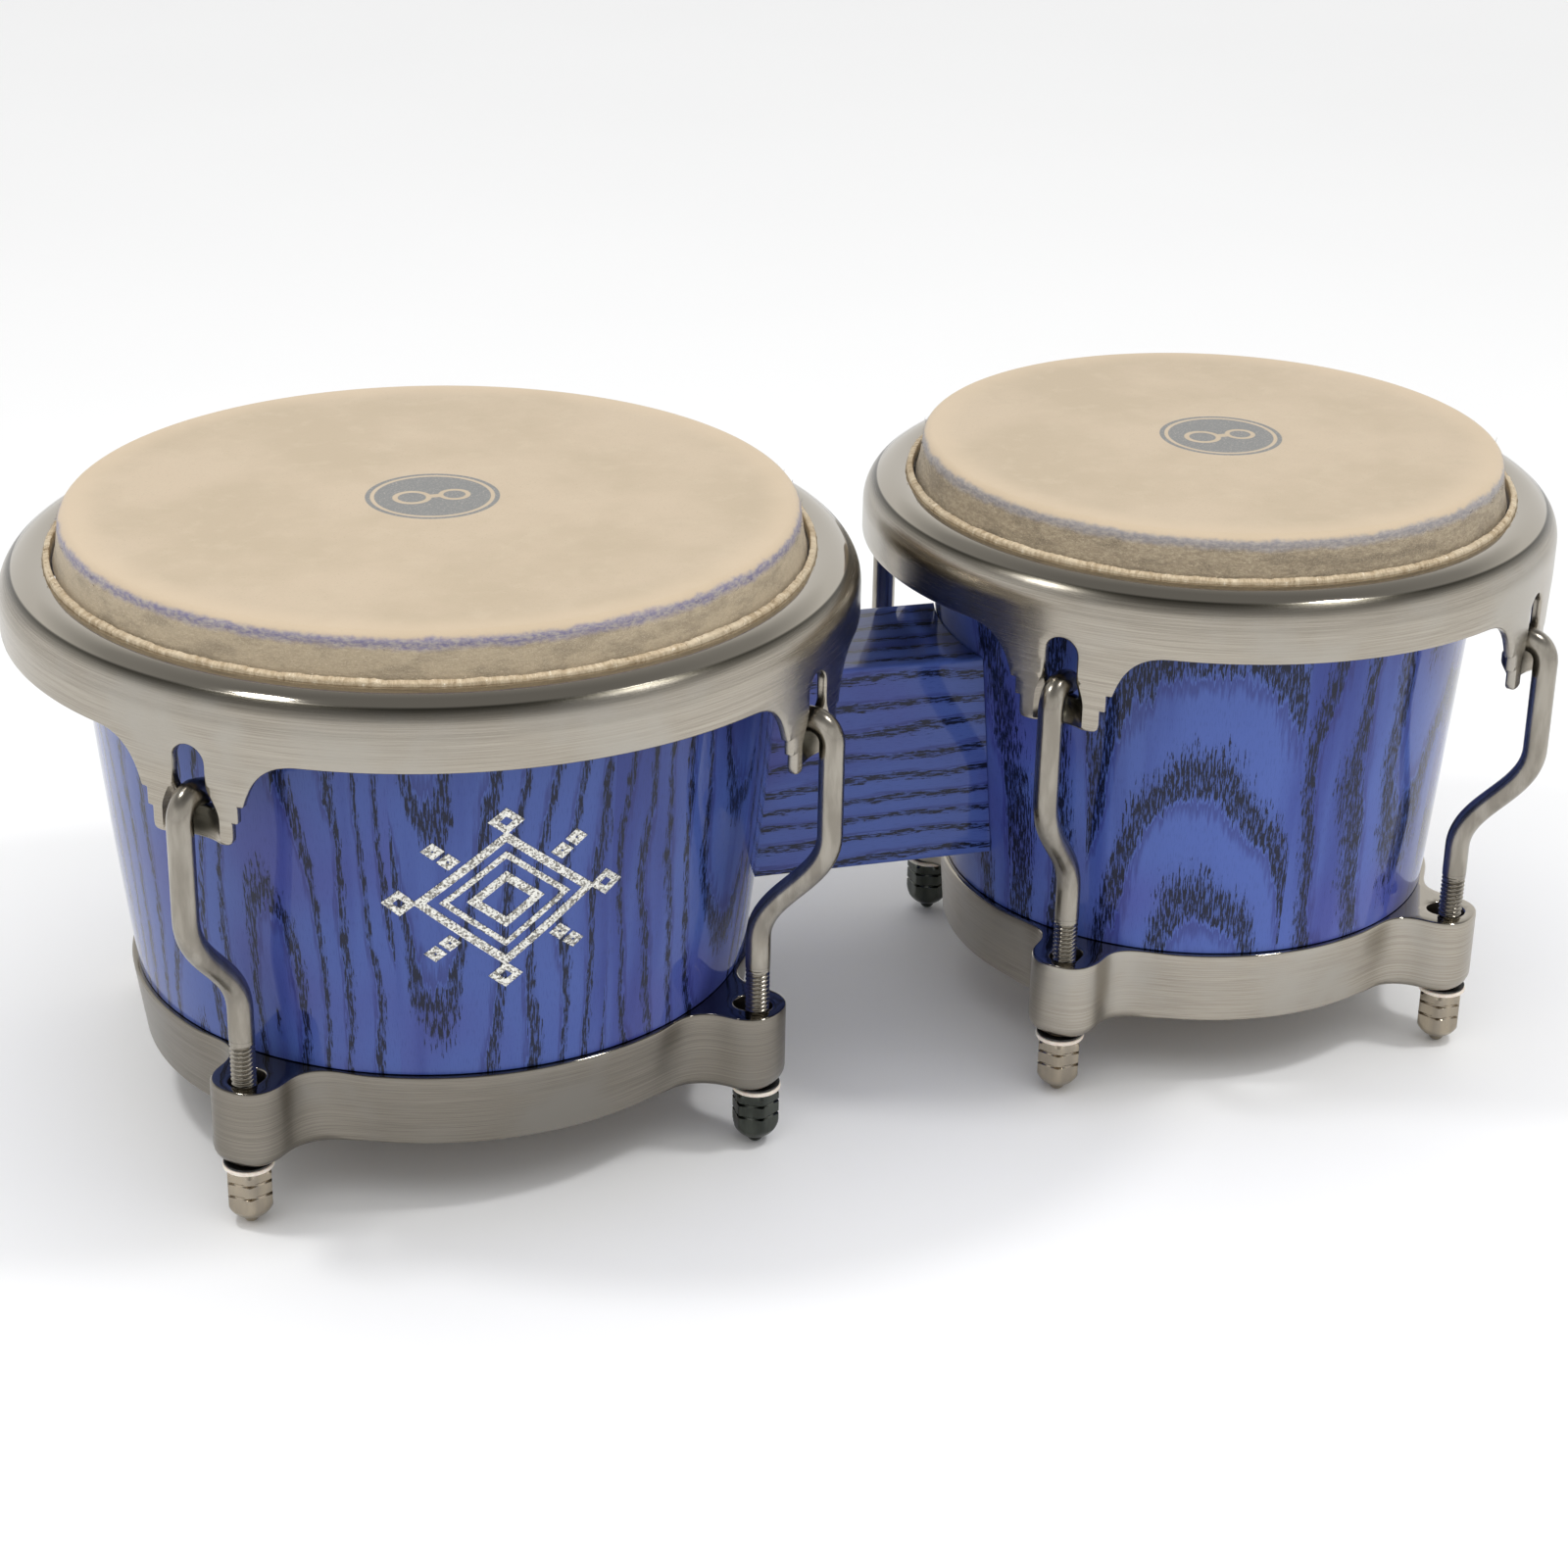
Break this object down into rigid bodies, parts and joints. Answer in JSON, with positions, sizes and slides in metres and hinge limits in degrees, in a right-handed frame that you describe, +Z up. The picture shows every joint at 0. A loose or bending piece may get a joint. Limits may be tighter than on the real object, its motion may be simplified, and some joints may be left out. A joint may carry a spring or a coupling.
{
  "type": "pair of bongo drums",
  "caption": "Pair of tapered wooden hand drums joined by a centre block, with skin heads tuned by rolled steel rims, hook rods and domed nuts that also serve as feet.",
  "frame": {"origin": "on the floor plane through the nut tips, under the middle of the bounding box", "axes": "+X from the large drum's axis to the small drum's, +Z up through the heads, +Y away from the player's side that the reference view shows"},
  "size_m": [0.4874, 0.2562, 0.1905],
  "materials": {
    "blue_ash": "gloss lacquer over blue-stained ash, near-black open grain",
    "rawhide": "semi-matt cream drum skin, mottled grey-violet at the bearing edge",
    "hoop_skin": "fibrous rolled skin edge, matt",
    "rim_nickel": "dark nickel plate, brushed around the rim, polished on the roll",
    "ring_nickel": "dark nickel plate on a brushed casting",
    "hook_nickel": "dark nickel plate, satin",
    "nut_nickel": "dark nickel plate, polished flats",
    "nylon": "cream nylon, matt",
    "dark_steel": "blackened steel",
    "zinc_steel": "zinc-plated steel",
    "brass_insert": "plain brass"
  },
  "bodies": {
    "root": {"centre_block": "blue_ash", "large_shell": "blue_ash", "large_head_skin": "rawhide", "large_bottom_ring": "ring_nickel", "large_backing_plate": "zinc_steel", "large_block_bolt_lower": "zinc_steel", "large_block_bolt_upper": "zinc_steel", "large_block_insert_lower": "brass_insert", "large_block_insert_upper": "brass_insert", "large_nylon_washer_rear_right": "nylon", "large_steel_washer_rear_right": "dark_steel", "large_nylon_washer_rear_left": "nylon", "large_steel_washer_rear_left": "dark_steel", "large_nylon_washer_front_left": "nylon", "large_steel_washer_front_left": "dark_steel", "large_nylon_washer_front_right": "nylon", "large_steel_washer_front_right": "dark_steel", "small_shell": "blue_ash", "small_head_skin": "rawhide", "small_bottom_ring": "ring_nickel", "small_backing_plate": "zinc_steel", "small_block_bolt_lower": "zinc_steel", "small_block_bolt_upper": "zinc_steel", "small_block_insert_lower": "brass_insert", "small_block_insert_upper": "brass_insert", "small_nylon_washer_rear_right": "nylon", "small_steel_washer_rear_right": "dark_steel", "small_nylon_washer_rear_left": "nylon", "small_steel_washer_rear_left": "dark_steel", "small_nylon_washer_front_left": "nylon", "small_steel_washer_front_left": "dark_steel", "small_nylon_washer_front_right": "nylon", "small_steel_washer_front_right": "dark_steel"},
    "large_nut_rear_right": {"large_nut_rear_right": "nut_nickel"},
    "large_nut_rear_left": {"large_nut_rear_left": "nut_nickel"},
    "large_nut_front_left": {"large_nut_front_left": "nut_nickel"},
    "large_nut_front_right": {"large_nut_front_right": "nut_nickel"},
    "large_rim_set": {"large_rim": "rim_nickel", "large_flesh_hoop": "hoop_skin", "large_hook_rear_right": "hook_nickel", "large_hook_rear_left": "hook_nickel", "large_hook_front_left": "hook_nickel", "large_hook_front_right": "hook_nickel"},
    "small_nut_rear_right": {"small_nut_rear_right": "nut_nickel"},
    "small_nut_rear_left": {"small_nut_rear_left": "nut_nickel"},
    "small_nut_front_left": {"small_nut_front_left": "nut_nickel"},
    "small_nut_front_right": {"small_nut_front_right": "nut_nickel"},
    "small_rim_set": {"small_rim": "rim_nickel", "small_flesh_hoop": "hoop_skin", "small_hook_rear_right": "hook_nickel", "small_hook_rear_left": "hook_nickel", "small_hook_front_left": "hook_nickel", "small_hook_front_right": "hook_nickel"}
  },
  "joints": [
    {"name": "large_rim_tuning", "type": "slide", "parent": "root", "child": "large_rim_set", "axis": [0, 0, 1], "range_m": [-0.004, 0.002]},
    {"name": "large_nut_rear_right_turn", "type": "hinge", "parent": "root", "child": "large_nut_rear_right", "pos_m": [-0.04188, 0.08188, 0.0093], "axis": [0, 0, 1], "range_deg": [-513, 1023]},
    {"name": "large_nut_rear_left_turn", "type": "hinge", "parent": "root", "child": "large_nut_rear_left", "pos_m": [-0.19748, 0.07372, 0.0093], "axis": [0, 0, 1], "range_deg": [-513, 1023]},
    {"name": "large_nut_front_left_turn", "type": "hinge", "parent": "root", "child": "large_nut_front_left", "pos_m": [-0.18932, -0.08188, 0.0093], "axis": [0, 0, 1], "range_deg": [-513, 1023]},
    {"name": "large_nut_front_right_turn", "type": "hinge", "parent": "root", "child": "large_nut_front_right", "pos_m": [-0.03372, -0.07372, 0.0093], "axis": [0, 0, 1], "range_deg": [-513, 1023]},
    {"name": "small_rim_tuning", "type": "slide", "parent": "root", "child": "small_rim_set", "axis": [0, 0, 1], "range_m": [-0.004, 0.002]},
    {"name": "small_nut_rear_right_turn", "type": "hinge", "parent": "root", "child": "small_nut_rear_right", "pos_m": [0.19998, 0.06609, 0.0093], "axis": [0, 0, 1], "range_deg": [-513, 1023]},
    {"name": "small_nut_rear_left_turn", "type": "hinge", "parent": "root", "child": "small_nut_rear_left", "pos_m": [0.06782, 0.06609, 0.0093], "axis": [0, 0, 1], "range_deg": [-513, 1023]},
    {"name": "small_nut_front_left_turn", "type": "hinge", "parent": "root", "child": "small_nut_front_left", "pos_m": [0.06782, -0.06609, 0.0093], "axis": [0, 0, 1], "range_deg": [-513, 1023]},
    {"name": "small_nut_front_right_turn", "type": "hinge", "parent": "root", "child": "small_nut_front_right", "pos_m": [0.19998, -0.06609, 0.0093], "axis": [0, 0, 1], "range_deg": [-513, 1023]}
  ],
  "couplings": [
    {"joint": "large_nut_rear_right_turn", "follows": "large_rim_tuning", "rad_per_m": -4452.7},
    {"joint": "large_nut_rear_left_turn", "follows": "large_rim_tuning", "rad_per_m": -4452.7},
    {"joint": "large_nut_front_left_turn", "follows": "large_rim_tuning", "rad_per_m": -4452.7},
    {"joint": "large_nut_front_right_turn", "follows": "large_rim_tuning", "rad_per_m": -4452.7},
    {"joint": "small_nut_rear_right_turn", "follows": "small_rim_tuning", "rad_per_m": -4452.7},
    {"joint": "small_nut_rear_left_turn", "follows": "small_rim_tuning", "rad_per_m": -4452.7},
    {"joint": "small_nut_front_left_turn", "follows": "small_rim_tuning", "rad_per_m": -4452.7},
    {"joint": "small_nut_front_right_turn", "follows": "small_rim_tuning", "rad_per_m": -4452.7}
  ]
}
